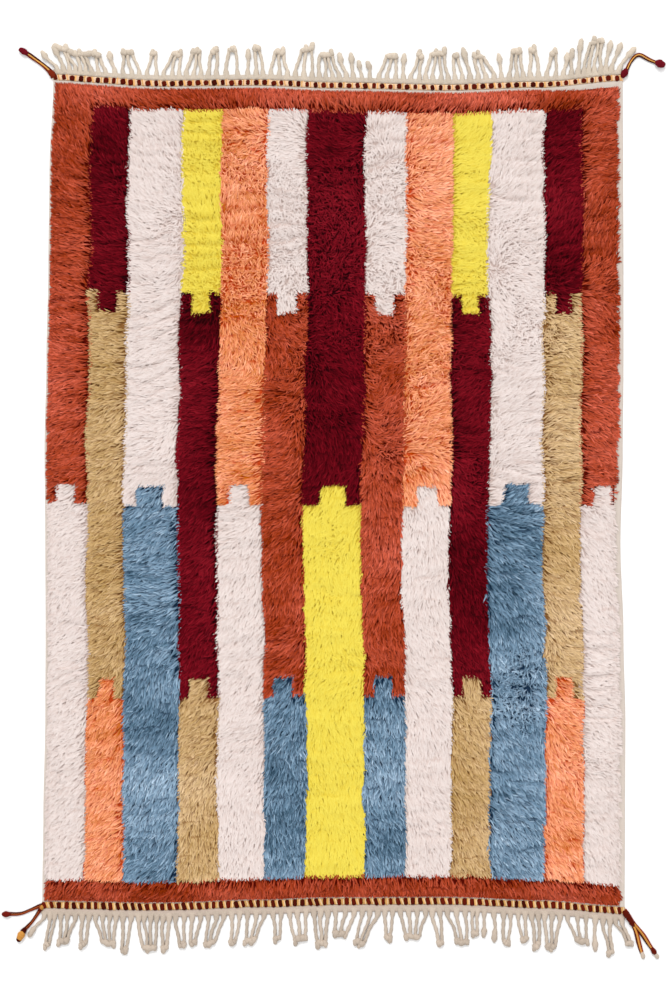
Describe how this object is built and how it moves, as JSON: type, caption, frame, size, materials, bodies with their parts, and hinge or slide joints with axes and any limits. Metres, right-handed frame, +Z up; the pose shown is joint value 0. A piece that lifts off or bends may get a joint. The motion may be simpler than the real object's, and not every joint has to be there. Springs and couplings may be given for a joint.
{
  "type": "berber rug",
  "caption": "Thick-pile hand-knotted wool rug lying flat, with bare selvedges, twined end edgings, knotted cord fringes and wrapped cord tassels at its corners.",
  "frame": {"origin": "on the floor under the middle of the rug", "axes": "+X across the rug, +Y along its length towards the far end, +Z up out of the pile"},
  "size_m": [1.7456, 2.4311, 0.0239],
  "materials": {
    "wool_pile": "soft matt wool yarn in several colours, knotted in rows, with bare cotton selvedges",
    "twined_edging": "brown and gold wool yarn twined in turn, matt",
    "cotton_fringe": "undyed cotton warp cord, twisted and knotted, matt",
    "tassel_cord": "brown and gold wrapped cord with dark red knobs, slight sheen"
  },
  "bodies": {
    "root": {"rug_body": "wool_pile", "edging_far": "twined_edging", "edging_near": "twined_edging", "fringe_far": "cotton_fringe", "fringe_near": "cotton_fringe", "tassel_far_left": "tassel_cord", "tassel_far_right": "tassel_cord", "tassel_near_left": "tassel_cord", "tassel_near_right": "tassel_cord"}
  },
  "joints": []
}
